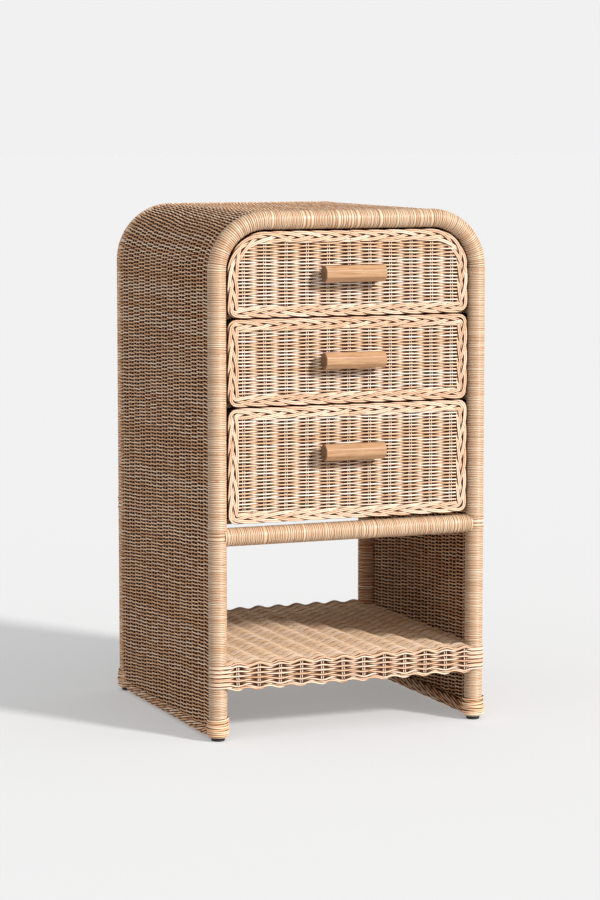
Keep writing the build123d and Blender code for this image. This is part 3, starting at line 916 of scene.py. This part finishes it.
def skin_row(position, face, sign, thick, flat, lift, parts):
    """One weaver across the shelf. position runs over the top or under face, front to back.
    Weavers lie in bundles that bow forwards over each pair of stakes. A bundle slopes down to
    its rear, where it is tucked under the step up to the next."""
    t = knots(4 - panel_x, panel_x - 4, shelf_first, SHELF_STAKE_PITCH, parts)
    swing = wave(t, shelf_first, SHELF_STAKE_PITCH, sign)
    height = shelf_half - SHELF_SKIN - SHELF_RIDGE + 1.2
    over = max(abs(position) - inner, 0)
    angle = min(over / SHELF_EDGE, math.pi / 2)
    y0 = math.copysign(min(abs(position), inner) + SHELF_EDGE * math.sin(angle), position)
    drop = SHELF_EDGE * (1 - math.cos(angle))
    ny, nz = math.copysign(math.sin(angle), position), math.cos(angle)
    ridge_number = np.floor((t - shelf_first) / SHELF_STAKE_PITCH + 0.5)
    bowed = position - 1.5 * ridges(t) + 1.5 * np.sin(2.3 * ridge_number)
    bundle = (bowed / SPLINT_BUNDLE + 0.5 * (ridge_number % 2)) % 1
    out = lift * swing + SHELF_RIDGE * ridges(t) + 1.1 * (0.5 - bundle) + jitter(t, 0.1)
    y = shelf_y + y0 + ny * out + jitter(t, 0.2)
    z = shelf_z + face * (height - drop + nz * out)
    # Painted shade: darker in the valleys between ridges and along the tucked ends of the bundles
    valley_shade = np.clip(-ridges(t), 0, 1) ** 6
    tuck_shade = 0.8 * np.clip((bundle - 0.78) / 0.2, 0, 1)
    sunk_shade = -face * np.maximum(0.4 * valley_shade, tuck_shade)
    return xyz(t, y, z), np.array([0.0, ny, face * nz]), thick, flat, rng.random(), sunk_shade


# The top face runs on round the long edges and the under face does not
for part, face, half, pitch, sizes in (
    ("top", 1, inner + 1.1 * SHELF_EDGE, SPLINT_PITCH, (1.25, 0.9, 0.35, 10)),
    ("under", -1, inner, UNDER_PITCH, (1.35, 1.2, 1.9, 4)),
):
    rows = round(2 * half / pitch)
    for row in range(rows):
        position = -half + (row + 0.5) * 2 * half / rows
        shelf_lines[part].append(skin_row(position, face, 1 if row % 2 else -1, *sizes))

ring_reach = tube + 0.5  # from the middle of a post to the middle of a weaver round it
for end, post_y in ((-1, front_y), (1, rear_y)):
    outward = end * BACK
    face_y = shelf_y + end * (shelf_depth_half - SHELF_SKIN)
    for row in range(BAND_ROWS):
        level = row - (BAND_ROWS - 1) / 2
        t = knots(4 - post_x, post_x - 4, shelf_first, SHELF_STAKE_PITCH, 7)
        sign = 1 if row % 2 else -1
        swing = wave(t, shelf_first, SHELF_STAKE_PITCH, sign)
        # Near a post the rows draw together in pairs and leave the face to go round it
        near = smooth(np.clip((np.abs(t) - post_x + tube + 8) / 13, 0, 1))
        spread = 1 + 0.11 * ridges(t) * (1 - near)
        pitch = BAND_PITCH * (1 - near) + BAND_RING_PITCH * near
        z = shelf_z + level * pitch * spread + 0.5 * near * sign + jitter(t, 0.12)
        y_flat = face_y + end * BAND_LIFT * swing * (1 - near)
        y_post = post_y + end * ring_reach
        line = xyz(t, y_flat * (1 - near) + y_post * near, z)
        # Round a front post the ends reach the side; on a rear one they are tucked in behind
        last, dive = (88, 1.4) if end < 0 else (64, 2.6)
        arc = np.radians(np.linspace(8, last, BAND_TIP))
        tip_reach = ring_reach - dive * np.linspace(0, 1, BAND_TIP) ** 2
        tip_y = post_y + end * tip_reach * np.cos(arc)
        tip_x = post_x + tip_reach * np.sin(arc)
        tips = xyz(-tip_x, tip_y, z[0])[::-1], xyz(tip_x, tip_y, z[-1])
        whole = np.concatenate([tips[0], line, tips[1]])
        left, right = (xyz(side * np.sin(arc), end * np.cos(arc), 0.0) for side in (-1, 1))
        facing = np.concatenate([left[::-1], np.tile(outward, (len(t), 1)), right])
        level_out = np.zeros(BAND_TIP)
        stands = np.concatenate([level_out, swing * (1 - near), level_out])
        band = (whole, facing, BAND_WEAVER, BAND_WEAVER, rng.random(), stands)
        shelf_lines["band"].append(band)
    # Two strands twist round each other along the lower edge; along the upper they only cross
    rim = 2.6 if end > 0 else 0.0
    t = np.linspace(6 - post_x, post_x - 6, 130)
    for level in (-1, 1):
        for strand in range(2):
            phase = math.pi * (t - shelf_first) / SHELF_STAKE_PITCH + strand * math.pi
            if level < 0:
                z = shelf_z - shelf_half + 3.2 - 1.3 * ridges(t) + 1.3 * np.cos(phase)
                y = face_y + end * (0.6 + 1.9 * np.sin(phase))
            else:
                z = shelf_z + shelf_half - 4.4 + rim + 1.9 * ridges(t) - strand * 1.6
                y = face_y + end * (0.4 + 1.4 * np.cos(phase))
            shelf_lines["band"].append((xyz(t, y, z), outward, 1.55, 1.45, rng.random(), 0.0))
    # The stakes turn down here and show between the band's rows
    for column in range(SHELF_STAKES):
        x = shelf_first + (column - SHELF_STAKES / 2) * SHELF_STAKE_PITCH
        for side in (-1, 1):
            z = np.linspace(shelf_z - shelf_half + 4, shelf_z + shelf_half - 4, 10)
            line = xyz(x + side * SHELF_PAIR + 0.3 * np.sin(z / 9 + column), face_y, z)
            shelf_lines["band"].append((line, outward, 1.0, 1.0, 0.8 + 0.2 * rng.random(), 0.0))

for column in range(SHELF_STAKES):
    x = shelf_first + (column - SHELF_STAKES / 2) * SHELF_STAKE_PITCH
    for side in (-1, 1):
        y = np.linspace(-inner, inner, 20) + shelf_y
        for part, face in (("top", 1), ("under", -1)):
            z = shelf_z + face * (shelf_half - SHELF_SKIN - 0.3)
            line = xyz(x + side * SHELF_PAIR, y, z)
            shelf_lines[part].append((line, UP, 1.15, 1.15, rng.random(), 0.0))

for part, sides, material in (
    ("top", 5, shelf_rattan),
    ("under", 5, shelf_rattan),
    ("band", 7, plait_rattan),
):
    piece = strand_piece(f"shelf_{part}", shelf_lines[part], sides)
    dress(piece, "case", "rattan_weave", material, "shelf_weave")


# ---------- foot borders
for word, side in (("left", -1), ("right", 1)):
    foot_z = box(f"{word}_foot_border")[0][2]
    core_low, core_high = box(f"{word}_foot_stretcher")
    inner_x = min(abs(core_low[0]), abs(core_high[0])) - ROPE_COVER
    rope_half = (panel_x + ROPE_COVER - inner_x) / 2
    rope_x = side * (inner_x + rope_half)
    y = np.linspace(front_y + 4, rear_y - 4, 170)
    # The rope clears the glides at its ends and hangs a little lower between them
    sag = smooth(np.clip(np.minimum(y - front_y, rear_y - y) / ROPE_SAG_RUN, 0, 1))
    rope_z = foot_z + ROPE_RISE - ROPE_SAG * sag
    strands = []
    for rod in range(ROPE_RODS):
        phase = side * TURN * (rod / ROPE_RODS - y / ROPE_LAY)
        weave = np.sin(TURN * y / 50 + rod * TURN / 3)
        across, up = np.cos(phase), np.sin(phase)
        outward = xyz(across, 0.0, up)
        line = xyz(rope_x + rope_half * across, y, rope_z + ROPE_HALF_HEIGHT * up)
        # Where a rod goes in, painted shade darkens it
        line += outward * 0.8 * weave[:, None]
        strands.append((line, outward, *ROPE_ROD, rng.random(), 0.6 * weave))
    for post_y in (front_y, rear_y):
        for ring in range(POST_RINGS):
            angle = np.linspace(0, TURN, 41)
            bulge = 1.5 - 0.3 * abs(ring - 3) + 0.3 * rng.random()
            tilt = 0.3 * ring * rng.uniform(0.5, 1.0)
            spin = rng.uniform(0, TURN)
            z = foot_z + 4.0 + ring * POST_RING_PITCH + tilt * np.sin(angle + spin)
            reach = tube + bulge + 0.6 * np.sin(2 * angle + spin)
            outward = xyz(np.cos(angle), np.sin(angle), 0.0)
            middle = xyz(side * post_x, post_y, z)
            strands.append((middle + outward * reach[:, None], outward, 1.75, 1.7, rng.random(), 0.0))
    piece = strand_piece(f"{word}_foot_rope", strands, 7)
    dress(piece, "case", "rattan_plait", weave_rattan, f"{word}_foot_border")


# ---------- finishes on the frame's own pieces
FINISHES = {
    "arch_pole": pole_rattan,
    "rail_pole": pole_rattan,
    "shelf_front_pole": pole_rattan,
    "shelf_rear_pole": pole_rattan,
    "foot_stretcher": shade_dark_pole,
    "front_board": shade_dark_plywood,
    "drawer_left_side": plywood,
    "drawer_right_side": plywood,
    "drawer_back": plywood,
    "drawer_bottom": plywood,
    "drawer_pull": oiled_ash,
    "glides": polypropylene,
    "nails": zinc,
    "screws": zinc,
}
for name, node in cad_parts.items():
    chosen = pine
    for ending, material in FINISHES.items():
        if name.endswith(ending):
            chosen = material
    for slot in node.material_slots:
        slot.material = chosen


# ---------- floor, light and camera
FLOOR_HALF = 60.0  # in metres
FLOOR_GREY = 0.44
FLOOR_GLOW = 0.277  # light of its own, which keeps the shadows on it pale
ROOM_SHADE, ROOM_LIGHT = 0.38, 1.1  # brightness of the room behind the piece and in front
SUN_RIGHT, SUN_UP = math.radians(33), math.radians(27)
SUN_WIDTH = math.radians(8)
EYE = Vector((-1.5995, -3.91845, 0.8788))
LOOKED_AT = Vector((0.00505, 0.00549, 0.3856))


def stage_floor():
    mesh = bpy.data.meshes.new("studio_floor")
    corners = ((-1, -1), (1, -1), (1, 1), (-1, 1))
    mesh.from_pydata([(x * FLOOR_HALF, y * FLOOR_HALF, 0) for x, y in corners], [], [(0, 1, 2, 3)])
    floor = put("studio_floor", mesh)
    material, tree = fresh("matt_studio_paint")
    shader = add(
        tree,
        "ShaderNodeBsdfPrincipled",
        {
            "Base Color": (FLOOR_GREY, FLOOR_GREY, FLOOR_GREY, 1.0),
            "Roughness": 1.0,
            "Specular IOR Level": 0.0,
            "Emission Color": (1.0, 1.0, 1.0, 1.0),
            "Emission Strength": FLOOR_GLOW,
        },
    )
    add(tree, "ShaderNodeOutputMaterial", {"Surface": shader.outputs["BSDF"]})
    mesh.materials.append(material)
    floor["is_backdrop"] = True


def studio():
    world = bpy.data.worlds.new("soft_studio")
    world.use_nodes = True
    tree = world.node_tree
    tree.nodes.clear()
    place = add(tree, "ShaderNodeTexCoord").outputs["Generated"]
    toward = add(
        tree, "ShaderNodeVectorMath", {0: place, 1: (0.05, -0.9, 0.1)}, operation="DOT_PRODUCT"
    ).outputs["Value"]
    strength = add(
        tree,
        "ShaderNodeMapRange",
        {"Value": toward, "From Min": -0.8, "From Max": 0.9, "To Min": ROOM_SHADE, "To Max": ROOM_LIGHT},
    ).outputs["Result"]
    room = add(
        tree, "ShaderNodeBackground", {"Color": (0.98, 0.99, 1.0, 1.0), "Strength": strength}
    ).outputs["Background"]
    paper = add(
        tree, "ShaderNodeBackground", {"Color": linear("#F1F1F1"), "Strength": 1.0}
    ).outputs["Background"]
    seen = add(tree, "ShaderNodeLightPath").outputs["Is Camera Ray"]
    both = add(tree, "ShaderNodeMixShader", {0: seen, 1: room, 2: paper}).outputs["Shader"]
    add(tree, "ShaderNodeOutputWorld", {"Surface": both})
    bpy.context.scene.world = world
    light = bpy.data.lights.new("key", "SUN")
    light.energy = 4.5
    light.angle = SUN_WIDTH
    light.color = (1.0, 0.99, 0.975)
    key = put("key", light)
    level = math.cos(SUN_UP)
    aim = Vector((math.sin(SUN_RIGHT) * level, -math.cos(SUN_RIGHT) * level, math.sin(SUN_UP)))
    key.rotation_euler = aim.to_track_quat("Z", "Y").to_euler()


def camera():
    lens = bpy.data.cameras.new("view")
    lens.sensor_fit = "HORIZONTAL"
    lens.sensor_width = 36.0
    lens.lens = 171.22
    lens.clip_end = 200.0
    eye = put("view", lens)
    eye.location = EYE
    eye.rotation_euler = (LOOKED_AT - EYE).to_track_quat("-Z", "Y").to_euler()
    bpy.context.scene.camera = eye


stage_floor()
studio()
camera()
bpy.context.scene.view_settings.view_transform = "Standard"

sizes = {"cad": [list(c) for c in cad_bounds], "visual": [list(c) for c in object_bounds()]}
